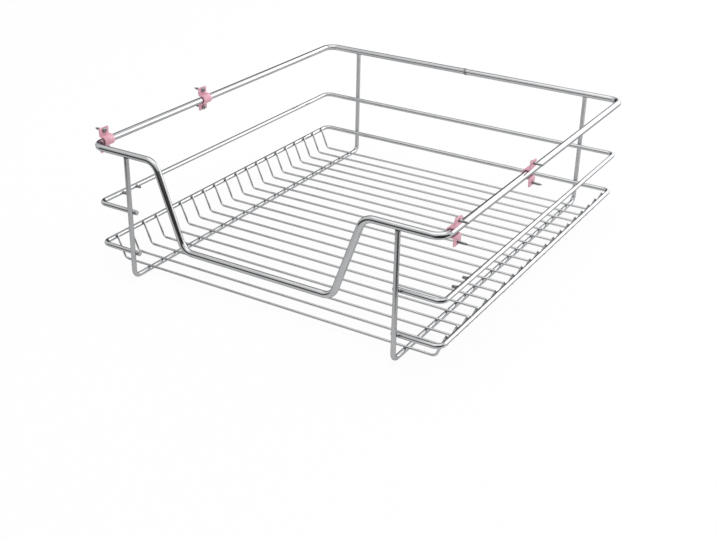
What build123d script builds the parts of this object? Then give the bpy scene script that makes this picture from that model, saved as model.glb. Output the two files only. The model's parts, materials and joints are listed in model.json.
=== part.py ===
from build123d import *
import math
import os

# A pull out wire basket for a kitchen cabinet, with the four screwed clips that it slides in.
#
# Row frame, in millimetres: X to the right, Y to the rear, Z up. The origin is under the middle of the
# basket, at the height of the two support wires' undersides. The basket is modelled pushed in, and is
# pulled out towards -Y. Every wire is given by its centreline: straight runs joined by tangent bends.

# ---- Driving dimensions -----------------------------------------------------------------------------

# The basket over its outer wires
basket_width = 400.0
basket_depth = 448.0
basket_height = 140.0

# Wire diameters
rim_wire = 7.0
frame_wire = 5.0
floor_wire = 2.5
stud_wire = 3.0

# Bend radii, on the centreline
rim_corner_bend = 13.0
rim_dip_bend = 14.0
frame_corner_bend = 8.0
support_bend = 7.5
floor_end_bend = 6.0

# Heights of the centrelines above the supports' undersides
dip_height = 48.4
middle_frame_height = 73.4
lower_frame_height = 27.7

# The front dip, which leaves room for a hand: from a support leg to the rim's upper bend, and from there
# to the lower bend
dip_shoulder = 35.0
dip_lean = 31.7

# The supports, from the basket's outer face to their centreline, and the length by which the frames' cut
# front ends pass the legs
support_inset = 47.0
frame_end_past_leg = 5.0

# The floor wires: their number, the first one's distance behind the rim's front centreline, the place of
# the bend at each end (from the basket's outer face), and the length that stands past the lower frame
floor_wire_count = 20
floor_margin = 22.0
floor_bend_inset = 15.4
floor_tip_past_frame = 2.0

# The short studs welded to the inside of the middle frame, behind its front corners
stud_setback = 36.2
stud_spacing = 21.2
stud_length = 5.0

# Welds: how far one wire is pressed into the other
weld_sink = 0.2
leg_weld_sink = 0.4

# The guide clips, which are saddles over the rim's side wires
clip_wall = 1.5
clip_width = 13.0
clip_length = 26.0
clip_corner_radius = 1.0
clip_root_fillet = 1.2
clip_hole_spacing = 20.0
clip_hole = 3.4
clip_spacing = 160.0

# Clearances: rim wire to clip, basket to cabinet wall, and rim bend to clip at each end of the travel
clip_clearance = 0.3
wall_clearance = 0.5
stop_clearance = 0.3

# The screws that hold the clips to the cabinet walls: the thread's outer diameter, and the thinner neck
# under the head, which is as long as the clip's flange is thick
screw_shank = 3.0
screw_neck = 2.6
screw_length = 12.0
screw_tip = 2.5
screw_tip_flat = 0.6
screw_head = 5.5
screw_head_height = 1.9
screw_head_edge = 0.8
recess_across = 3.0
recess_slot = 0.7
recess_depth = 1.1

# ---- Places worked out from them --------------------------------------------------------------------

rim_x = (basket_width - rim_wire) / 2
rim_y = (basket_depth - rim_wire) / 2
rim_z = basket_height - rim_wire / 2

# The supports' legs and the frames' sides are flush with the rim's outer faces
frame_x = (basket_width - frame_wire) / 2
leg_y = (basket_depth - frame_wire) / 2
frame_y = leg_y - frame_wire + weld_sink
support_x = basket_width / 2 - support_inset
support_z = frame_wire / 2
leg_top_z = rim_z - rim_wire / 2 + leg_weld_sink

floor_z = frame_wire + floor_wire / 2 - weld_sink
floor_bend_x = basket_width / 2 - floor_bend_inset
floor_pitch = (2 * rim_y - 2 * floor_margin) / (floor_wire_count - 1)

dip_top_x = support_x - dip_shoulder
dip_bottom_x = dip_top_x - dip_lean

# The clips: seen along the wire, the wall is this far outside the wire's centre
wall_offset = rim_wire / 2 + wall_clearance
clip_inner_radius = rim_wire / 2 + clip_clearance
clip_outer_radius = clip_inner_radius + clip_wall

# Pushed in, the rim's front bend is at the front clip; pulled out, its rear bend is at the rear clip
side_run_end_y = rim_y - rim_corner_bend
front_clip_y = -side_run_end_y + stop_clearance + clip_width / 2
rear_clip_y = front_clip_y + clip_spacing
travel = side_run_end_y - stop_clearance - clip_width / 2 - rear_clip_y


# ---- Wires ------------------------------------------------------------------------------------------

def round_wire(points, bends, diameter):
    """A round wire along straight runs, with a tangent bend of its own radius at each inner point."""
    path = FilletPolyline(*points, radius=bends)
    start = Plane(origin=path @ 0, z_dir=path % 0)
    return sweep(start * Circle(diameter / 2), path=path)


def both_halves(half):
    """The right half of a wire, joined to its mirror image at the middle plane."""
    return half + mirror(half, about=Plane.YZ)


def top_rim():
    """The thick rim: one closed ring, level but for the dip in its front."""
    half = round_wire(
        [
            (0, rim_y, rim_z),
            (rim_x, rim_y, rim_z),
            (rim_x, -rim_y, rim_z),
            (dip_top_x, -rim_y, rim_z),
            (dip_bottom_x, -rim_y, dip_height),
            (0, -rim_y, dip_height),
        ],
        [rim_corner_bend, rim_corner_bend, rim_dip_bend, rim_dip_bend],
        rim_wire,
    )
    return both_halves(half)


def side_frame(height):
    """A level C-shaped frame, open at the front, whose cut ends lie behind the front legs."""
    end_x = support_x - frame_end_past_leg
    half = round_wire(
        [
            (0, frame_y, height),
            (frame_x, frame_y, height),
            (frame_x, -frame_y, height),
            (end_x, -frame_y, height),
        ],
        [frame_corner_bend, frame_corner_bend],
        frame_wire,
    )
    return both_halves(half)


def support(side):
    """A U-shaped wire from front to rear: it carries the floor, and its legs carry the frames and rim."""
    x = side * support_x
    return round_wire(
        [(x, -leg_y, leg_top_z), (x, -leg_y, support_z), (x, leg_y, support_z), (x, leg_y, leg_top_z)],
        [support_bend, support_bend],
        frame_wire,
    )


def floor_wire_at(y):
    """A floor wire on the supports, its ends turned up against the inside of the lower frame's sides."""
    # The upturned end touches the frame: its centreline passes this far from the frame's centre
    reach = (frame_wire + floor_wire) / 2 - weld_sink
    across = frame_x - floor_bend_x
    rise = lower_frame_height - floor_z
    distance = math.hypot(across, rise)
    lean = math.atan2(across, rise) - math.asin(reach / distance)
    length = math.sqrt(distance**2 - reach**2) + floor_tip_past_frame
    tip_x = floor_bend_x + length * math.sin(lean)
    tip_z = floor_z + length * math.cos(lean)
    return round_wire(
        [(-tip_x, y, tip_z), (-floor_bend_x, y, floor_z), (floor_bend_x, y, floor_z), (tip_x, y, tip_z)],
        [floor_end_bend, floor_end_bend],
        floor_wire,
    )


def stud(side, y):
    """A short stud that points inwards from the middle frame."""
    root_x = frame_x - frame_wire / 2 + weld_sink
    root = Plane(origin=(side * root_x, y, middle_frame_height), z_dir=(-side, 0, 0))
    return extrude(root * Circle(stud_wire / 2), amount=stud_length + weld_sink)


# ---- Guide clips and their screws -------------------------------------------------------------------

def guide_clip(side, y):
    """A moulded saddle: two flanges on the cabinet wall, and between them an arch over the rim wire."""
    # The section is drawn about the wire's centre, with the wall on the +X side
    arch_sides = Pos(wall_offset / 2, 0) * Rectangle(wall_offset, 2 * clip_outer_radius)
    arch = Circle(clip_outer_radius) + arch_sides
    flanges = Pos(wall_offset - clip_wall / 2, 0) * Rectangle(clip_wall, clip_length)
    beyond_wall = Pos(wall_offset + clip_outer_radius, 0) * Rectangle(2 * clip_outer_radius, clip_length)
    outline = (arch + flanges) - beyond_wall
    roots = [
        corner for corner in outline.vertices()
        if math.isclose(corner.X, wall_offset - clip_wall, abs_tol=1e-6)
        and math.isclose(abs(corner.Y), clip_outer_radius, abs_tol=1e-6)
    ]
    outline = fillet(roots, clip_root_fillet)
    channel_sides = Pos(wall_offset, 0) * Rectangle(2 * wall_offset, 2 * clip_inner_radius)
    channel = Circle(clip_inner_radius) + channel_sides
    section = outline - channel

    body = extrude(section, amount=clip_width / 2, both=True)
    for end in (-1, 1):
        hole_place = Pos(wall_offset - clip_wall / 2, end * clip_hole_spacing / 2, 0)
        body -= hole_place * Rot(0, 90, 0) * Cylinder(clip_hole / 2, 2 * clip_wall)
    corners = [
        edge for edge in body.edges().filter_by(Axis.X)
        if math.isclose(abs(edge.center().Y), clip_length / 2, abs_tol=1e-6)
    ]
    body = fillet(corners, clip_corner_radius)

    # Upright on the right-hand wall: the section's Y becomes the row's Z
    upright = Plane(origin=(rim_x, y, rim_z), x_dir=(1, 0, 0), z_dir=(0, -1, 0)) * body
    return upright if side > 0 else mirror(upright, about=Plane.YZ)


def screw():
    """A small pan-head screw along +Z, with its seat at the origin and its cross recess in the head."""
    profile = make_face(
        Polyline(
            (0, -screw_head_height),
            (screw_head / 2 - screw_head_edge, -screw_head_height),
            (screw_head / 2, -screw_head_height + screw_head_edge),
            (screw_head / 2, 0),
            (screw_neck / 2, 0),
            (screw_neck / 2, clip_wall),
            (screw_shank / 2, clip_wall),
            (screw_shank / 2, screw_length - screw_tip),
            (screw_tip_flat / 2, screw_length),
            (0, screw_length),
            close=True,
        )
    )
    turned = revolve(Plane.XZ * profile, axis=Axis.Z)
    slot_z = -screw_head_height + recess_depth / 2
    recess = Box(recess_across, recess_slot, recess_depth) + Box(recess_slot, recess_across, recess_depth)
    return turned - Pos(0, 0, slot_z) * recess


def guide_screws(side, y):
    """The two screws of one clip, one above the wire and one below it, driven outwards into the wall."""
    seat_x = side * (rim_x + wall_offset - clip_wall)
    screws = []
    for end in (-1, 1):
        place = Plane(origin=(seat_x, y, rim_z + end * clip_hole_spacing / 2), z_dir=(side, 0, 0))
        screws.append(place * screw())
    return Compound(children=screws)


# ---- The whole --------------------------------------------------------------------------------------

sides = {"left": -1, "right": 1}
parts = {
    "top_rim": top_rim(),
    "middle_frame": side_frame(middle_frame_height),
    "lower_frame": side_frame(lower_frame_height),
}
for name, side in sides.items():
    parts[f"{name}_support"] = support(side)

for number in range(floor_wire_count):
    parts[f"floor_wire_{number + 1:02d}"] = floor_wire_at(-rim_y + floor_margin + number * floor_pitch)

stud_places = {"front": -rim_y + stud_setback, "rear": -rim_y + stud_setback + stud_spacing}
clip_places = {"front": front_clip_y, "rear": rear_clip_y}
for name, side in sides.items():
    for place, y in stud_places.items():
        parts[f"{name}_{place}_stud"] = stud(side, y)
    for place, y in clip_places.items():
        parts[f"{name}_{place}_guide_clip"] = guide_clip(side, y)
        parts[f"{name}_{place}_guide_screws"] = guide_screws(side, y)

os.makedirs("parts", exist_ok=True)
for node, shape in parts.items():
    export_step(shape, f"parts/{node}.step")

print(f"travel {travel:.2f}, front clips at y {front_clip_y:.2f}, rear clips at y {rear_clip_y:.2f}")
print(f"floor pitch {floor_pitch:.2f}")
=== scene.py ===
import json
import math

import bmesh
import bpy
from mathutils import Matrix, Vector

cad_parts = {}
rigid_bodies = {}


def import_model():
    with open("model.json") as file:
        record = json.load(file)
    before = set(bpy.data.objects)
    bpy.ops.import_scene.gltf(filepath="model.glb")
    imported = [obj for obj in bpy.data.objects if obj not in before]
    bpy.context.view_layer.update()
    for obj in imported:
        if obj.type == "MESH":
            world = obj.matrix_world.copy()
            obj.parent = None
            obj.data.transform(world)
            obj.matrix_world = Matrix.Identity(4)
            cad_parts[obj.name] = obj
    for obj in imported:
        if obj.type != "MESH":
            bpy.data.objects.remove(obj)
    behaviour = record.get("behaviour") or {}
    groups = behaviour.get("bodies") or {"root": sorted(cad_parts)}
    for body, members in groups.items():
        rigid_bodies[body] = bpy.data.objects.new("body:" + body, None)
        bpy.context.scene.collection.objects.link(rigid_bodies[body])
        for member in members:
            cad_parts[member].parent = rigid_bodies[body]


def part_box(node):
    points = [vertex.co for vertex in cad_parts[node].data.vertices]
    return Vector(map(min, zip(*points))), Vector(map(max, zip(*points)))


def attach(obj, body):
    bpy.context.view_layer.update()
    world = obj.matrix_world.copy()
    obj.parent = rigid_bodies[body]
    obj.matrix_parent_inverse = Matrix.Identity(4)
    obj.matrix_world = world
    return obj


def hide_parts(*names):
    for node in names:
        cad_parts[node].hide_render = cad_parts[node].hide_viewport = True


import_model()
bpy.ops.object.select_all(action="DESELECT")
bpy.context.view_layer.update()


# ---- Top rim ----------------------------------------------------------------------------------------
# The thickest wire, 7 mm steel rod bent on formers to one level ring, with a dip in its front for the
# hand. Its two ends are butt welded in the middle of the rear run, which leaves a low collar of upset
# metal, ground flush on the outside. It is chromium plated together with all the wires under it.

mm = 0.001
rim_wire = 7.0 * mm
rim_low, rim_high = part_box("top_rim")
rim_x = rim_high.x - rim_wire / 2
rim_y = rim_high.y - rim_wire / 2
rim_z = rim_high.z - rim_wire / 2
dip_z = rim_low.z + rim_wire / 2
dip_top_x = 118.0 * mm
dip_bottom_x = 86.3 * mm
rim_corner_bend = 13.0 * mm
rim_dip_bend = 14.0 * mm

# The straight stub on both sides of a bend, which keeps the long faces of the straight runs true
stub = 0.8 * mm


def across(heading):
    """The turn that lays a flat ring square across a wire's heading."""
    return Vector(heading).to_track_quat("Z", "Y").to_euler()


def take_up(piece):
    """Leave off any edit, and take one piece in hand."""
    if bpy.context.mode != "OBJECT":
        bpy.ops.object.mode_set(mode="OBJECT")
    bpy.ops.object.select_all(action="DESELECT")
    piece.select_set(True)
    bpy.context.view_layer.objects.active = piece


def draw_out(way):
    """Draw the selected ring of points out along a straight run."""
    bpy.ops.mesh.extrude_region_move(TRANSFORM_OT_translate={"value": way})


def swell(factor, about):
    """Make the selected ring wider or narrower about a point."""
    bpy.ops.transform.resize(value=(factor, factor, factor), center_override=about)


def face_outwards():
    """Point all the faces of the piece in edit outwards."""
    bpy.ops.mesh.select_all(action="SELECT")
    bpy.ops.mesh.normals_make_consistent(inside=False)


def pick(piece, wanted, kind="VERT"):
    """Select the piece's points or faces whose place is wanted, and nothing else."""
    bpy.ops.mesh.select_mode(type=kind)
    bpy.ops.mesh.select_all(action="DESELECT")
    mesh = bmesh.from_edit_mesh(piece.data)
    if kind == "VERT":
        for point in mesh.verts:
            point.select_set(wanted(point.co))
        mesh.select_flush(True)
    else:
        for face in mesh.faces:
            face.select_set(wanted(face.calc_center_median()))
    bmesh.update_edit_mesh(piece.data)


def bend_wire(name, corners, bends, thickness, sides, per_bend):
    """Bend one wire: a ring drawn out along each straight run and spun round each bend."""
    corners = [Vector(corner) for corner in corners]
    heading = (corners[1] - corners[0]).normalized()
    bpy.ops.mesh.primitive_circle_add(
        vertices=sides, radius=thickness / 2, location=corners[0], rotation=across(heading)
    )
    wire = bpy.context.object
    wire.name = wire.data.name = name
    bpy.ops.object.transform_apply(location=True, rotation=True, scale=True)
    bpy.ops.object.mode_set(mode="EDIT")
    bpy.ops.mesh.select_mode(type="VERT")
    bpy.ops.mesh.select_all(action="SELECT")
    here = corners[0]
    for corner, beyond, bend in zip(corners[1:-1], corners[2:], bends):
        next_heading = (beyond - corner).normalized()
        turn = heading.angle(next_heading)
        set_back = bend * math.tan(turn / 2)
        bend_start = corner - heading * set_back
        draw_out(bend_start - heading * stub - here)
        draw_out(heading * stub)
        hinge = heading.cross(next_heading).normalized()
        bpy.ops.mesh.spin(
            steps=max(3, round(per_bend * turn / (math.pi / 2))),
            angle=-turn, center=bend_start + hinge.cross(heading) * bend, axis=hinge,
        )
        draw_out(next_heading * stub)
        here = corner + next_heading * (set_back + stub)
        heading = next_heading
    draw_out(corners[-1] - here)
    return wire


def new_finish(name):
    """A new material: the material itself, its node tree and its shader."""
    finish = bpy.data.materials.new(name)
    finish.use_nodes = True
    return finish, finish.node_tree, finish.node_tree.nodes["Principled BSDF"]


def noise(tree, scale, detail):
    """Cloudy noise that stays put on the piece. The larger its scale, the finer it is."""
    coordinates = tree.nodes.new("ShaderNodeTexCoord")
    clouds = tree.nodes.new("ShaderNodeTexNoise")
    clouds.inputs["Scale"].default_value = scale
    clouds.inputs["Detail"].default_value = detail
    tree.links.new(coordinates.outputs["Object"], clouds.inputs["Vector"])
    return clouds.outputs["Fac"]


def shade(tree, value, low, dark, high, light):
    """A colour that goes from dark to light as the value goes from low to high."""
    ramp = tree.nodes.new("ShaderNodeValToRGB")
    ramp.color_ramp.elements[0].position = low
    ramp.color_ramp.elements[0].color = (*dark, 1.0)
    ramp.color_ramp.elements[1].position = high
    ramp.color_ramp.elements[1].color = (*light, 1.0)
    tree.links.new(value, ramp.inputs["Fac"])
    return ramp.outputs["Color"]


def spread(tree, value, low, high, least, most):
    """A number that goes from least to most as the value goes from low to high."""
    scaling = tree.nodes.new("ShaderNodeMapRange")
    scaling.inputs["From Min"].default_value = low
    scaling.inputs["From Max"].default_value = high
    scaling.inputs["To Min"].default_value = least
    scaling.inputs["To Max"].default_value = most
    tree.links.new(value, scaling.inputs["Value"])
    return scaling.outputs["Result"]


def relief(tree, clouds, strength, height, over=None):
    """The noise as ups and downs of the surface, laid over another relief if one is given."""
    bump = tree.nodes.new("ShaderNodeBump")
    bump.inputs["Strength"].default_value = strength
    bump.inputs["Distance"].default_value = height
    tree.links.new(clouds, bump.inputs["Height"])
    if over is not None:
        tree.links.new(over, bump.inputs["Normal"])
    return bump.outputs["Normal"]


def chrome(name, tone, haze, ripple):
    """Bright chromium plate over drawn wire: a little cloudy and a little uneven, never quite a mirror."""
    plate, tree, shader = new_finish(name)
    shader.inputs["Metallic"].default_value = 1.0
    shader.inputs["Specular Tint"].default_value = (0.42, 0.43, 0.45, 1.0)

    # Clouding in the plate, some 15 mm across, which shades its colour and its gloss
    clouds = noise(tree, scale=65.0, detail=3.0)
    dark = (tone * 0.90, tone * 0.91, tone * 0.93)
    light = (tone, tone * 1.005, tone * 1.015)
    colour = shade(tree, clouds, low=0.3, dark=dark, high=0.7, light=light)
    tree.links.new(colour, shader.inputs["Base Color"])
    gloss = spread(tree, clouds, low=0.3, high=0.7, least=haze * 0.7, most=haze * 1.3)
    tree.links.new(gloss, shader.inputs["Roughness"])

    # The drawn wire's unevenness, seen in the plate: a slow ripple, and fine pits over it
    slow = noise(tree, scale=160.0, detail=1.0)
    waves = relief(tree, slow, strength=1.0, height=ripple)
    fine = noise(tree, scale=2600.0, detail=2.0)
    pits = relief(tree, fine, strength=0.5, height=ripple * 0.12, over=waves)
    tree.links.new(pits, shader.inputs["Normal"])
    return plate


def fit(piece, body, node):
    """Smooth a finished piece, and put it in the place of its CAD node."""
    take_up(piece)
    bpy.ops.object.shade_smooth_by_angle(angle=math.radians(35))
    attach(piece, body)
    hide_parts(node)
    bpy.ops.object.select_all(action="DESELECT")


bright_chrome = chrome("bright_chrome", tone=0.54, haze=0.10, ripple=0.05 * mm)
# The welds' finish is much darker than the wire's: partly dull plating over the weld, partly painted shade of
# the nooks between the wires.
weld_chrome_and_painted_shade = chrome("weld_chrome_and_painted_shade", tone=0.26, haze=0.28, ripple=0.25 * mm)

rim_ring = bend_wire(
    "rim_ring",
    [
        (0, rim_y, rim_z),
        (rim_x, rim_y, rim_z),
        (rim_x, -rim_y, rim_z),
        (dip_top_x, -rim_y, rim_z),
        (dip_bottom_x, -rim_y, dip_z),
        (-dip_bottom_x, -rim_y, dip_z),
        (-dip_top_x, -rim_y, rim_z),
        (-rim_x, -rim_y, rim_z),
        (-rim_x, rim_y, rim_z),
        (0, rim_y, rim_z),
    ],
    [rim_corner_bend] * 2 + [rim_dip_bend] * 4 + [rim_corner_bend] * 2,
    rim_wire, sides=32, per_bend=14,
)
bpy.ops.mesh.select_all(action="SELECT")
bpy.ops.mesh.remove_doubles(threshold=0.02 * mm)

# The butt weld: rings are cut in on both sides of the seam, all within each reach of it swell by a factor
# about the flush outer face, and the two ends stand a little out of line. Rings and reaches are in mm.
seam_rings = (-4.6, -3.2, -2.0, -1.0, 1.0, 2.0, 3.2, 4.6)
swellings = ((2.2, 1.03), (1.2, 1.06), (0.2, 1.05))
collar_end = 2.2 * mm
weld_end = 1.9 * mm
step_at_seam = 0.22 * mm
step_from, step_to = 0.5 * mm, 3.4 * mm
unevenness = 0.10 * mm
for ring_x in seam_rings:
    pick(rim_ring, lambda c: c.y > rim_y - rim_wire and abs(c.x) < 0.6 * rim_x, kind="FACE")
    bpy.ops.mesh.bisect(plane_co=(ring_x * mm, 0, 0), plane_no=(1, 0, 0))
for reach, factor in swellings:
    pick(rim_ring, lambda c: c.y > 0 and abs(c.x) < reach * mm)
    bpy.ops.transform.resize(
        value=(1, factor, factor), center_override=(0, rim_y + rim_wire / 2, rim_z)
    )
for side in (-1, 1):
    pick(rim_ring, lambda c: c.y > 0 and step_from < side * c.x < step_to)
    bpy.ops.transform.translate(value=(0, 0, -side * step_at_seam))
pick(rim_ring, lambda c: c.y > 0 and abs(c.x) < collar_end and c.y < rim_y + 0.4 * rim_wire)
bpy.ops.transform.vertex_random(offset=unevenness, uniform=0.6, seed=4)
face_outwards()
rim_ring.data.materials.append(bright_chrome)
rim_ring.data.materials.append(weld_chrome_and_painted_shade)
pick(rim_ring, lambda c: c.y > 0 and abs(c.x) < weld_end, kind="FACE")
# The seam's faces take the darker weld finish, which paints the shade of the seam along with its dull
# plating.
rim_ring.active_material_index = 1
bpy.ops.object.material_slot_assign()
fit(rim_ring, "basket", "top_rim")


# ---- Middle and lower frames ------------------------------------------------------------------------
# Two level C-shaped wires of 5 mm rod, open at the front. Their cut ends lie behind the front legs and
# pass them by 5 mm. The ends were cropped and tumbled, so their edges are rounded over.

frame_wire = 5.0 * mm
frame_corner_bend = 8.0 * mm
frame_end_x = 148.0 * mm
rail_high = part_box("middle_frame")[1]
rail_x = rail_high.x - frame_wire / 2
rail_y = rail_high.y - frame_wire / 2
rail_z = rail_high.z - frame_wire / 2
lower_rail_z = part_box("lower_frame")[1].z - frame_wire / 2


def round_off_ends(wire, ends, edge, flat, segments=3):
    """Close the wire's cut ends, round their edges over, and inset the flat that is left."""
    for end in ends:
        pick(wire, lambda c: (c - Vector(end)).length < frame_wire)
        bpy.ops.mesh.edge_face_add()
        bpy.ops.mesh.bevel(offset=edge, segments=segments, profile=0.5, affect="EDGES")
        bpy.ops.mesh.inset(thickness=flat)
    face_outwards()


def put(shift, turned=False):
    """Put the piece in hand in its place, turned half round to the basket's other side if need be."""
    if turned:
        bpy.ops.transform.rotate(value=math.pi, orient_axis="Z", center_override=(0, 0, 0))
    bpy.ops.transform.translate(value=shift)
    bpy.ops.object.transform_apply(location=True, rotation=True, scale=True)


def take_copy(piece, name, shift=(0, 0, 0), turned=False):
    """Copy a finished piece to another place."""
    take_up(piece)
    bpy.ops.object.duplicate(linked=False)
    copy = bpy.context.object
    copy.name = copy.data.name = name
    put(shift, turned)
    return copy


middle_rail = bend_wire(
    "middle_rail",
    [
        (-frame_end_x, -rail_y, rail_z),
        (-rail_x, -rail_y, rail_z),
        (-rail_x, rail_y, rail_z),
        (rail_x, rail_y, rail_z),
        (rail_x, -rail_y, rail_z),
        (frame_end_x, -rail_y, rail_z),
    ],
    [frame_corner_bend] * 4,
    frame_wire, sides=24, per_bend=12,
)
frame_edge = 0.45 * mm
rail_ends = [(side * frame_end_x, -rail_y, rail_z) for side in (-1, 1)]
round_off_ends(middle_rail, rail_ends, frame_edge, flat=frame_edge / 3)
middle_rail.data.materials.append(bright_chrome)
lower_rail = take_copy(middle_rail, "lower_rail", (0, 0, lower_rail_z - rail_z))
fit(middle_rail, "basket", "middle_frame")
fit(lower_rail, "basket", "lower_frame")


# ---- Left and right supports ------------------------------------------------------------------------
# Two U-shaped wires of the same rod, from front to rear. Their legs are resistance welded to the
# outside of both frames, where a bead of squeezed metal shows in the nook between the wires, and their
# tops are butted up under the rim, each with a ring of upset metal that is flush on the outside.

support_bend = 7.5 * mm
leg_x = 153.0 * mm
support_low, support_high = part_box("right_support")
leg_y = support_high.y - frame_wire / 2
support_z = support_low.z + frame_wire / 2
leg_top_z = support_high.z


def add_first_ring(at, heading, rings, sides):
    """Add the first ring of a round body, closed by a face. Rings are (distance from at, radius) in mm."""
    distance, radius = rings[0]
    bpy.ops.mesh.primitive_circle_add(
        vertices=sides, radius=radius * mm, fill_type="NGON",
        location=at + heading * distance * mm, rotation=across(heading),
    )


def draw_rings(at, heading, rings):
    """From the selected first ring, draw out the rest of a round body."""
    for (before, radius), (distance, next_radius) in zip(rings, rings[1:]):
        draw_out(heading * (distance - before) * mm)
        swell(next_radius / radius, at + heading * distance * mm)


def weld_bead(at, heading, rings, sides=14):
    """Add a bead of weld to the wire in edit, in the darker weld finish with its painted shade."""
    at, heading = Vector(at), Vector(heading)
    add_first_ring(at, heading, rings, sides)
    draw_rings(at, heading, rings)
    bpy.context.object.active_material_index = 1
    bpy.ops.mesh.select_linked()
    bpy.ops.object.material_slot_assign()


satin_chrome = chrome("satin_chrome", tone=0.52, haze=0.27, ripple=0.05 * mm)
left_runner = bend_wire(
    "left_runner",
    [
        (-leg_x, -leg_y, leg_top_z),
        (-leg_x, -leg_y, support_z),
        (-leg_x, leg_y, support_z),
        (-leg_x, leg_y, leg_top_z),
    ],
    [support_bend] * 2,
    frame_wire, sides=24, per_bend=12,
)
leg_edge = 0.1 * mm
leg_tops = [(-leg_x, end * leg_y, leg_top_z) for end in (-1, 1)]
round_off_ends(left_runner, leg_tops, leg_edge, flat=leg_edge / 3)
left_runner.data.materials.append(satin_chrome)
left_runner.data.materials.append(weld_chrome_and_painted_shade)

# The upset at a leg's top, which grows inwards only: rings are cut in at these drops below the top, in
# mm, and what is above each grows by its factor
upset_rings = ((3.6, 1.0), (2.0, 1.0), (1.3, 1.07), (0.7, 1.08))
for end in (-1, 1):
    for drop, factor in upset_rings:
        ring_z = leg_top_z - drop * mm
        pick(left_runner, lambda c: end * c.y > leg_y - frame_wire and c.z > 0.4 * leg_top_z, kind="FACE")
        bpy.ops.mesh.bisect(plane_co=(-leg_x, end * leg_y, ring_z), plane_no=(0, 0, 1))
        pick(left_runner, lambda c: end * c.y > leg_y - frame_wire and c.z > ring_z - 0.1 * mm)
        bpy.ops.transform.resize(
            value=(factor, factor, 1), center_override=(-leg_x, end * (leg_y + frame_wire / 2), leg_top_z)
        )
    for z in (rail_z, lower_rail_z):
        weld_bead(
            (-leg_x, end * (leg_y + rail_y) / 2, z), (0, end, 0),
            [(-1.1, 1.80), (-0.4, 1.65), (0.4, 1.65), (1.1, 1.80)],
        )
face_outwards()
right_runner = take_copy(left_runner, "right_runner", turned=True)
fit(left_runner, "basket", "left_support")
fit(right_runner, "basket", "right_support")


# ---- Floor wires ------------------------------------------------------------------------------------
# Twenty thin rods of 2.5 mm wire, laid across the two supports. Both ends are turned up and lean
# outwards against the inside of the lower frame, and every crossing is spot welded: the wires have sunk
# a little into each other, and a small bead stands out beside the rod.

floor_wire = 2.5 * mm
floor_end_bend = 6.0 * mm
floor_wire_count = 20
first_low, first_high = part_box("floor_wire_01")
floor_pitch = (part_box("floor_wire_20")[0].y - first_low.y) / (floor_wire_count - 1)
rod_y = (first_low.y + first_high.y) / 2
rod_z = first_low.z + floor_wire / 2
rod_bend_x = 184.6 * mm
weld_sink = 0.2 * mm
tip_past_frame = 2.0 * mm

# The upturned end's centreline passes the frame's centre at the distance where the two wires just meet
meeting = (frame_wire + floor_wire) / 2 - weld_sink
rod_bend_at = Vector((rod_bend_x, rod_y, rod_z))
to_frame = Vector((rail_x - rod_bend_x, 0, lower_rail_z - rod_z))
lean = math.atan2(to_frame.x, to_frame.z) - math.asin(meeting / to_frame.length)
upturn = Vector((math.sin(lean), 0, math.cos(lean)))
into_frame = Vector((upturn.z, 0, -upturn.x))
touch = rod_bend_at + upturn * math.sqrt(to_frame.length ** 2 - meeting ** 2)
tip = touch + upturn * tip_past_frame

rod = bend_wire(
    "floor_rod_01",
    [
        (-tip.x, rod_y, tip.z),
        (-rod_bend_x, rod_y, rod_z),
        (rod_bend_x, rod_y, rod_z),
        (tip.x, rod_y, tip.z),
    ],
    [floor_end_bend] * 2,
    floor_wire, sides=16, per_bend=10,
)
rod_ends = [(side * tip.x, rod_y, tip.z) for side in (-1, 1)]
round_off_ends(rod, rod_ends, edge=0.3 * mm, flat=0.12 * mm, segments=2)
rod.data.materials.append(bright_chrome)
rod.data.materials.append(weld_chrome_and_painted_shade)
spot = touch + into_frame * floor_wire / 2
for side in (-1, 1):
    weld_bead(
        (side * leg_x, rod_y, frame_wire), (0, 0, 1),
        [(-0.8, 1.75), (-0.1, 1.55), (0.6, 1.35), (1.2, 0.9)], sides=10,
    )
    weld_bead(
        (side * spot.x, rod_y, spot.z), (side * into_frame.x, 0, into_frame.z),
        [(-1.1, 0.9), (-0.5, 1.3), (0.1, 1.5), (0.8, 1.7)], sides=10,
    )
face_outwards()
rods = [rod]
for number in range(1, floor_wire_count):
    rods.append(take_copy(rod, f"floor_rod_{number + 1:02d}", (0, number * floor_pitch, 0)))
for number, laid in enumerate(rods):
    fit(laid, "basket", f"floor_wire_{number + 1:02d}")


# ---- Studs ------------------------------------------------------------------------------------------
# Four short pins of 3 mm wire, projection welded to the inside of the middle frame, two behind each
# front corner. Each has a skirt of squeezed metal at its root and a tip that is rounded over.

pin_low, pin_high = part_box("left_front_stud")
pin_root = Vector((pin_low.x, (pin_low.y + pin_high.y) / 2, (pin_low.z + pin_high.z) / 2))
pin_length = (pin_high.x - pin_low.x) / mm


def turn_piece(name, at, heading, rings, sides):
    """Turn a new round piece, and leave it in edit."""
    at, heading = Vector(at), Vector(heading)
    add_first_ring(at, heading, rings, sides)
    piece = bpy.context.object
    piece.name = piece.data.name = name
    bpy.ops.object.transform_apply(location=True, rotation=True, scale=True)
    bpy.ops.object.mode_set(mode="EDIT")
    bpy.ops.mesh.select_all(action="SELECT")
    draw_rings(at, heading, rings)
    face_outwards()
    return piece


def middle_y(node):
    """How far to the rear the middle of a CAD node is."""
    low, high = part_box(node)
    return (low.y + high.y) / 2


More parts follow.
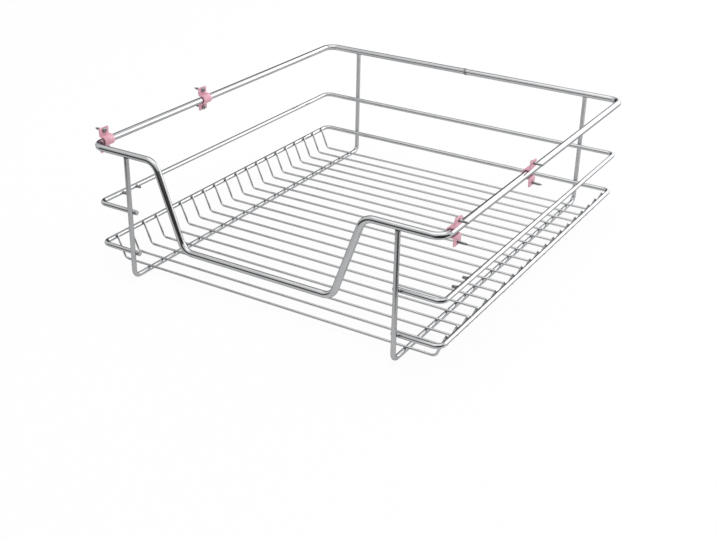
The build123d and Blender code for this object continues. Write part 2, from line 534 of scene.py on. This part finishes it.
def fit_four(piece, sides, noun, body, node_noun):
    """Copy the front piece of the first of the two sides to its three other places, and fit all four."""
    own_y = middle_y(f"{sides[0]}_front_{node_noun}")
    four = []
    for side_name, turned_y in zip(sides, (own_y, -own_y)):
        for place in ("front", "rear"):
            name, node = f"{side_name}_{place}_{noun}", f"{side_name}_{place}_{node_noun}"
            if name != piece.name:
                shift = (0, middle_y(node) - turned_y, 0)
                take_copy(piece, name, shift, turned=side_name != sides[0])
            four.append((name, node))
    for name, node in four:
        fit(bpy.data.objects[name], body, node)


pin = turn_piece(
    "left_front_pin", pin_root, (1, 0, 0),
    [
        (0, 2.1), (0.35, 1.95), (0.6, 1.66), (0.95, 1.5),
        (pin_length - 0.6, 1.5), (pin_length - 0.2, 1.32), (pin_length, 0.95),
    ],
    sides=16,
)
# The pins are in the darker weld finish throughout, which paints shade as well as dull plating.
pin.data.materials.append(weld_chrome_and_painted_shade)
fit_four(pin, ("left", "right"), "pin", "basket", "stud")


# ---- Guide clips ------------------------------------------------------------------------------------
# Four saddles moulded in pink plastic, 1.5 mm thick: an arch over the rim's side wire and two flanges
# flat on the cabinet wall, each with a screw hole. The mould left soft edges and a faint, waxy grain.

clip_wall = 1.5 * mm
clip_root_round = 1.1 * mm
clip_corner_round = 1.0 * mm
channel_radius = 3.8 * mm
hole_spread = 10.0 * mm
hole_radius = 1.7 * mm
clip_low, clip_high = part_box("right_front_guide_clip")
clip_y = (clip_low.y + clip_high.y) / 2
clip_half_height = clip_high.z - rim_z
wall_x = clip_high.x

# The sheet is drawn along the middle of the wall's thickness
flange_x = wall_x - clip_wall / 2
arch_radius = channel_radius + clip_wall / 2

# A point closer than this to a line of the sheet is on it
hair = 0.01 * mm

bpy.ops.mesh.primitive_circle_add(
    vertices=40, radius=arch_radius, location=(rim_x, clip_low.y, rim_z), rotation=across((0, 1, 0))
)
saddle = bpy.context.object
saddle.name = saddle.data.name = "right_front_saddle"
bpy.ops.object.transform_apply(location=True, rotation=True, scale=True)
bpy.ops.object.mode_set(mode="EDIT")
pick(saddle, lambda c: c.x > rim_x + hair)
bpy.ops.mesh.delete(type="VERT")
for end in (-1, 1):
    pick(saddle, lambda c: abs(c.x - rim_x) < hair and end * (c.z - rim_z) > 0)
    draw_out((flange_x - rim_x, 0, 0))
    draw_out((0, 0, end * (clip_half_height - arch_radius)))
pick(saddle, lambda c: abs(c.x - flange_x) < hair and abs(abs(c.z - rim_z) - arch_radius) < hair)
bpy.ops.mesh.bevel(offset=clip_root_round, segments=5, affect="VERTICES")
bpy.ops.mesh.select_all(action="SELECT")
draw_out((0, clip_high.y - clip_low.y, 0))
pick(saddle, lambda c: abs(abs(c.z - rim_z) - clip_half_height) < hair)
bpy.ops.mesh.bevel(offset=clip_corner_round, segments=5, affect="VERTICES")
bpy.ops.mesh.select_all(action="SELECT")
bpy.ops.mesh.remove_doubles(threshold=0.005 * mm)
face_outwards()
take_up(saddle)
shell = saddle.modifiers.new("moulded_wall", "SOLIDIFY")
shell.thickness = clip_wall
shell.offset = 0.0
shell.use_even_offset = True
bpy.ops.object.modifier_apply(modifier=shell.name)


def cut_away(piece, cutter, name):
    """Cut the cutter's shape out of a piece, and throw the cutter away."""
    take_up(piece)
    cut = piece.modifiers.new(name, "BOOLEAN")
    cut.operation = "DIFFERENCE"
    cut.solver = "EXACT"
    cut.object = cutter
    bpy.ops.object.modifier_apply(modifier=cut.name)
    bpy.data.objects.remove(cutter, do_unlink=True)


# The screw holes are drilled square through the flanges
for end in (-1, 1):
    bpy.ops.mesh.primitive_cylinder_add(
        vertices=32, radius=hole_radius, depth=4 * clip_wall,
        location=(flange_x, clip_y, rim_z + end * hole_spread), rotation=(0, math.pi / 2, 0),
    )
    cut_away(saddle, bpy.context.object, "screw_hole")
soft_edge = saddle.modifiers.new("soft_edge", "BEVEL")
soft_edge.width = 0.22 * mm
soft_edge.segments = 2
soft_edge.limit_method = "ANGLE"
soft_edge.angle_limit = math.radians(40)
soft_edge.use_clamp_overlap = True
bpy.ops.object.modifier_apply(modifier=soft_edge.name)

pink_plastic, tree, shader = new_finish("pink_plastic")
shader.inputs["Specular IOR Level"].default_value = 0.45
shader.inputs["Subsurface Weight"].default_value = 0.12
shader.inputs["Subsurface Radius"].default_value = (1.0, 0.4, 0.3)
shader.inputs["Subsurface Scale"].default_value = 1.2 * mm
flow = noise(tree, scale=130.0, detail=2.0)
tint = shade(tree, flow, low=0.35, dark=(0.66, 0.325, 0.395), high=0.65, light=(0.74, 0.395, 0.465))
tree.links.new(tint, shader.inputs["Base Color"])
grain = noise(tree, scale=2200.0, detail=3.0)
sheen = spread(tree, grain, low=0.3, high=0.7, least=0.36, most=0.50)
tree.links.new(sheen, shader.inputs["Roughness"])
skin = relief(tree, grain, strength=0.6, height=0.03 * mm)
tree.links.new(skin, shader.inputs["Normal"])
saddle.data.materials.clear()
saddle.data.materials.append(pink_plastic)
fit_four(saddle, ("right", "left"), "saddle", "cabinet_guides", "guide_clip")


# ---- Screws -----------------------------------------------------------------------------------------
# Two small zinc-plated wood screws hold each clip to the cabinet wall: a pan head with a cross recess, a
# plain neck where it passes the flange, and a rolled thread of 3 mm that tapers into its point.

seat = Vector((wall_x - clip_wall, clip_y, rim_z - hole_spread))

zinc, tree, shader = new_finish("zinc_plated_steel")
shader.inputs["Metallic"].default_value = 1.0
bloom = noise(tree, scale=420.0, detail=4.0)
greys = shade(tree, bloom, low=0.3, dark=(0.24, 0.24, 0.25), high=0.75, light=(0.40, 0.40, 0.405))
tree.links.new(greys, shader.inputs["Base Color"])
dullness = spread(tree, bloom, low=0.0, high=1.0, least=0.24, most=0.46)
tree.links.new(dullness, shader.inputs["Roughness"])
scuffs = relief(tree, bloom, strength=0.5, height=0.02 * mm)
tree.links.new(scuffs, shader.inputs["Normal"])

screw = turn_piece(
    "screw", seat, (1, 0, 0),
    [
        (-1.90, 1.50), (-1.83, 2.05), (-1.62, 2.42), (-1.28, 2.66), (-0.85, 2.75), (-0.06, 2.75), (0.0, 2.69),
        (0.0, 1.30), (1.45, 1.30), (1.6, 1.08), (9.5, 1.08), (11.2, 0.50), (12.0, 0.12),
    ],
    sides=28,
)
bpy.ops.object.mode_set(mode="OBJECT")

# The cross recess is cut by a small block with four wings drawn out of it, narrower at its foot
cross_width = 0.7 * mm
cross_wing = 1.15 * mm
cross_middle_x = seat.x - 1.55 * mm
cross_past_head = 0.5 * mm
cross_deeper = 0.4 * mm
cross_foot = 0.45
bpy.ops.mesh.primitive_cube_add(size=cross_width, location=(cross_middle_x, seat.y, seat.z))
cross = bpy.context.object
bpy.ops.object.transform_apply(location=True, rotation=True, scale=True)
bpy.ops.object.mode_set(mode="EDIT")
for wing in (Vector((0, 1, 0)), Vector((0, -1, 0)), Vector((0, 0, 1)), Vector((0, 0, -1))):
    pick(cross, lambda c: (c - seat).dot(wing) > cross_width / 2 - hair, kind="FACE")
    draw_out(wing * cross_wing)
pick(cross, lambda c: c.x < cross_middle_x)
bpy.ops.transform.translate(value=(-cross_past_head, 0, 0))
pick(cross, lambda c: c.x > cross_middle_x)
bpy.ops.transform.translate(value=(cross_deeper, 0, 0))
bpy.ops.transform.resize(value=(1, cross_foot, cross_foot), center_override=seat)
face_outwards()
bpy.ops.object.mode_set(mode="OBJECT")
cut_away(screw, cross, "cross_recess")

# The thread: a three-sided ridge wound round the core, drawn in towards the point
thread_start = 2.0 * mm
thread_pitch = 1.15 * mm
thread_turns = 8
thread_crest = 1.48 * mm
thread_ridge = 0.32 * mm
bpy.ops.object.select_all(action="DESELECT")
bpy.ops.mesh.primitive_circle_add(
    vertices=3, radius=thread_ridge, location=seat + Vector((thread_start, 0, 0)),
    rotation=across((0, 1, 0)),
)
thread = bpy.context.object
bpy.ops.object.transform_apply(location=False, rotation=True, scale=True)
bpy.ops.object.mode_set(mode="EDIT")
bpy.ops.mesh.select_all(action="SELECT")
ridge_top = max(point.co.z for point in bmesh.from_edit_mesh(thread.data).verts)
bpy.ops.transform.translate(value=(0, 0, thread_crest - ridge_top))
bpy.ops.object.mode_set(mode="OBJECT")
winding = thread.modifiers.new("winding", "SCREW")
winding.axis = "X"
winding.angle = 2 * math.pi
winding.screw_offset = thread_pitch
winding.iterations = thread_turns
winding.steps = winding.render_steps = 16
bpy.ops.object.modifier_apply(modifier=winding.name)
bpy.ops.object.transform_apply(location=True, rotation=False, scale=False)
bpy.ops.object.mode_set(mode="EDIT")
bpy.ops.mesh.select_all(action="SELECT")
bpy.ops.mesh.remove_doubles(threshold=0.002 * mm)
bpy.ops.mesh.fill_holes(sides=4)
taper_start = 9.2 * mm
taper_step = 0.28 * mm
taper_steps = 10
taper = 0.90
for step in range(taper_steps):
    pick(thread, lambda c: c.x > seat.x + taper_start + step * taper_step)
    bpy.ops.transform.resize(value=(1, taper, taper), center_override=seat)
face_outwards()
bpy.ops.object.mode_set(mode="OBJECT")
screw.select_set(True)
bpy.context.view_layer.objects.active = screw
bpy.ops.object.join()
screw = bpy.context.object
screw.data.materials.clear()
screw.data.materials.append(zinc)

# Each pair is two copies of it, and each screw was left turned as it came, by these degrees
left_turned = iter((12, 47, 71, 30, 5, 58, 38, 80))
for side_name, side in (("right", 1), ("left", -1)):
    for place in ("front", "rear"):
        pair = []
        for rise in (0, 2 * hole_spread):
            pair.append(take_copy(screw, "one_screw", (0, 0, rise)))
            bpy.ops.transform.rotate(
                value=math.radians(next(left_turned)), orient_axis="X",
                center_override=seat + Vector((0, 0, rise)),
            )
            bpy.ops.object.transform_apply(location=True, rotation=True, scale=True)
        take_up(pair[0])
        pair[1].select_set(True)
        bpy.ops.object.join()
        screws = bpy.context.object
        screws.name = screws.data.name = f"{side_name}_{place}_screw_pair"
        y = middle_y(f"{side_name}_{place}_guide_clip")
        put((0, y - side * clip_y, 0), turned=side < 0)
        fit(screws, "cabinet_guides", f"{side_name}_{place}_guide_screws")
bpy.data.objects.remove(screw, do_unlink=True)


# ---- Studio -----------------------------------------------------------------------------------------
# A plain white table under plain soft light. Boards stand round the basket, as a photographer sets them
# round bright metal. They glow in painted greys that only the chrome's reflections see, and so paint its
# dark edges and bands as painted reflections.

bpy.ops.mesh.primitive_plane_add(size=14.0, location=(0, 0, 0))
table_top = bpy.context.object
table_top.name = "table_top"
white_table, tree, shader = new_finish("white_table")
shader.inputs["Base Color"].default_value = (0.85, 0.85, 0.85, 1.0)
shader.inputs["Roughness"].default_value = 0.9
shader.inputs["Specular IOR Level"].default_value = 0.1


def seen_directly(tree):
    """Two factors: for what the eye or a reflection sees, and for what a reflection alone sees."""
    ray = tree.nodes.new("ShaderNodeLightPath")
    mirrored = tree.nodes.new("ShaderNodeMath")
    mirrored.operation = "MAXIMUM"
    tree.links.new(ray.outputs["Is Glossy Ray"], mirrored.inputs[0])
    tree.links.new(ray.outputs["Is Transmission Ray"], mirrored.inputs[1])
    either = tree.nodes.new("ShaderNodeMath")
    either.operation = "MAXIMUM"
    tree.links.new(ray.outputs["Is Camera Ray"], either.inputs[0])
    tree.links.new(mirrored.outputs["Value"], either.inputs[1])
    return either.outputs["Value"], mirrored.outputs["Value"]


# The table shows its white, and a little of the shadows on it
either, mirrored = seen_directly(tree)
share = tree.nodes.new("ShaderNodeMath")
share.operation = "MULTIPLY"
share.inputs[1].default_value = 0.92
tree.links.new(either, share.inputs[0])

# Painted light: in reflections its white falls off from the rear right to the front left, a painted pool of
# light on the rear lamp's side
coordinates = tree.nodes.new("ShaderNodeTexCoord")
diagonal = tree.nodes.new("ShaderNodeMapping")
diagonal.inputs["Rotation"].default_value = (0, 0, math.radians(-37))
tree.links.new(coordinates.outputs["Object"], diagonal.inputs["Vector"])
along = tree.nodes.new("ShaderNodeSeparateXYZ")
tree.links.new(diagonal.outputs["Vector"], along.inputs["Vector"])
painted_falloff = spread(tree, along.outputs["X"], low=-0.38, high=0.46, least=0.75, most=1.0)
level = tree.nodes.new("ShaderNodeMix")
level.data_type = "FLOAT"
level.inputs["A"].default_value = 1.0
tree.links.new(mirrored, level.inputs["Factor"])
tree.links.new(painted_falloff, level.inputs["B"])
glow = tree.nodes.new("ShaderNodeEmission")
glow.inputs["Color"].default_value = (1.0, 1.0, 1.0, 1.0)
tree.links.new(level.outputs["Result"], glow.inputs["Strength"])
blend = tree.nodes.new("ShaderNodeMixShader")
tree.links.new(share.outputs["Value"], blend.inputs["Fac"])
tree.links.new(shader.outputs["BSDF"], blend.inputs[1])
tree.links.new(glow.outputs["Emission"], blend.inputs[2])
tree.links.new(blend.outputs["Shader"], tree.nodes["Material Output"].inputs["Surface"])
table_top.data.materials.append(white_table)

surroundings = bpy.data.worlds.new("surroundings")
bpy.context.scene.world = surroundings
surroundings.use_nodes = True
tree = surroundings.node_tree
ambient = tree.nodes["Background"]
ambient.inputs["Color"].default_value = (0.96, 0.98, 1.0, 1.0)
ambient.inputs["Strength"].default_value = 0.85
white = tree.nodes.new("ShaderNodeBackground")
white.inputs["Color"].default_value = (1.0, 1.0, 1.0, 1.0)
white.inputs["Strength"].default_value = 1.0
choice = tree.nodes.new("ShaderNodeMixShader")
tree.links.new(seen_directly(tree)[0], choice.inputs["Fac"])
tree.links.new(ambient.outputs["Background"], choice.inputs[1])
tree.links.new(white.outputs["Background"], choice.inputs[2])
tree.links.new(choice.outputs["Shader"], tree.nodes["World Output"].inputs["Surface"])


def soft_box(name, at, towards, width, height, watts):
    """A large soft lamp that faces a point."""
    bpy.ops.object.light_add(type="AREA", location=at)
    lamp = bpy.context.object
    lamp.name = name
    lamp.data.shape = "RECTANGLE"
    lamp.data.size = width
    lamp.data.size_y = height
    lamp.data.energy = watts
    lamp.rotation_euler = (Vector(towards) - Vector(at)).to_track_quat("-Z", "Y").to_euler()
    lamp.visible_camera = False


soft_box("overhead_box", at=(0.1, -0.1, 1.7), towards=(0, 0, 0.05), width=1.8, height=1.8, watts=8.5)
soft_box("rear_box", at=(0.62, 1.62, 0.66), towards=(0, 0, 0.1), width=1.9, height=1.3, watts=15.0)


def board(name, foot, width, height, faces, lean, greys):
    """A board that leans outwards from its foot on the table, seen by reflections only.

    greys are the painted shades of grey it glows with, each with its place from the foot, at 0, to the top,
    at 1.
    """
    lean = math.radians(lean)
    faces = Vector(faces).normalized()
    up = Vector((-faces.x * math.cos(lean), -faces.y * math.cos(lean), math.sin(lean)))
    square = Vector((faces.x * math.sin(lean), faces.y * math.sin(lean), math.cos(lean)))
    bpy.ops.mesh.primitive_plane_add(
        size=1.0, location=Vector(foot) + up * height / 2, rotation=across(square)
    )
    card = bpy.context.object
    card.name = name
    card.scale = (width, height, 1.0)
    card.visible_camera = False
    card.visible_diffuse = False
    card.visible_shadow = False
    paint, tree, shader = new_finish(name)
    tree.nodes.remove(shader)
    coordinates = tree.nodes.new("ShaderNodeTexCoord")
    part_way = tree.nodes.new("ShaderNodeSeparateXYZ")
    tree.links.new(coordinates.outputs["Object"], part_way.inputs["Vector"])
    from_foot = tree.nodes.new("ShaderNodeMath")
    from_foot.inputs[1].default_value = 0.5
    tree.links.new(part_way.outputs["Y"], from_foot.inputs[0])
    fade = tree.nodes.new("ShaderNodeValToRGB")
    stops = fade.color_ramp.elements
    stops.remove(stops[1])
    stops[0].position = greys[0][0]
    stops[0].color = (*[greys[0][1]] * 3, 1.0)
    for position, grey in greys[1:]:
        stops.new(position).color = (*[grey] * 3, 1.0)
    tree.links.new(from_foot.outputs["Value"], fade.inputs["Fac"])
    # The board glows in its greys: a painted reflection, seen by the chrome only.
    light = tree.nodes.new("ShaderNodeEmission")
    tree.links.new(fade.outputs["Color"], light.inputs["Color"])
    tree.links.new(light.outputs["Emission"], tree.nodes["Material Output"].inputs["Surface"])
    card.data.materials.append(paint)


board(
    "front_board", foot=(0.0, -0.50, 0.0), width=1.5, height=0.70, faces=(0.10, 0.995, 0), lean=60,
    greys=[(0.0, 0.25), (0.06, 0.06), (0.20, 0.05), (0.32, 0.18), (0.60, 0.50), (1.0, 1.0)],
)
board(
    "low_board", foot=(0.25, -0.285, 0.0), width=0.26, height=0.30, faces=(-0.75, 0.66, 0), lean=12,
    greys=[(0.0, 0.06), (1.0, 0.10)],
)
board(
    "corner_board", foot=(0.50, -0.225, 0.0), width=0.62, height=0.32, faces=(-0.75, 0.66, 0), lean=80,
    greys=[(0.0, 0.02), (0.7, 0.04), (1.0, 0.40)],
)
board(
    "left_board", foot=(-0.88, 0.90, 0.0), width=1.30, height=1.0, faces=(0.7, -0.7, 0), lean=90,
    greys=[(0.0, 0.08), (0.5, 0.08), (1.0, 0.30)],
)

# The camera, where the photographer's stood: it looks down and to the left, and leans a little
bpy.ops.object.camera_add(location=(0.5774, -1.0082, 0.5444))
camera = bpy.context.object
camera.name = "camera"
camera.rotation_euler = (
    Matrix.Rotation(math.radians(30.4975), 3, "Z")
    @ Matrix.Rotation(math.radians(90 - 26.753), 3, "X")
    @ Matrix.Rotation(math.radians(1.307), 3, "Z")
).to_euler()
camera.data.sensor_width = 36.0
camera.data.lens = 57.43
camera.data.clip_start = 0.01
camera.data.clip_end = 50.0
bpy.context.scene.camera = camera
bpy.context.scene.view_settings.view_transform = "Standard"
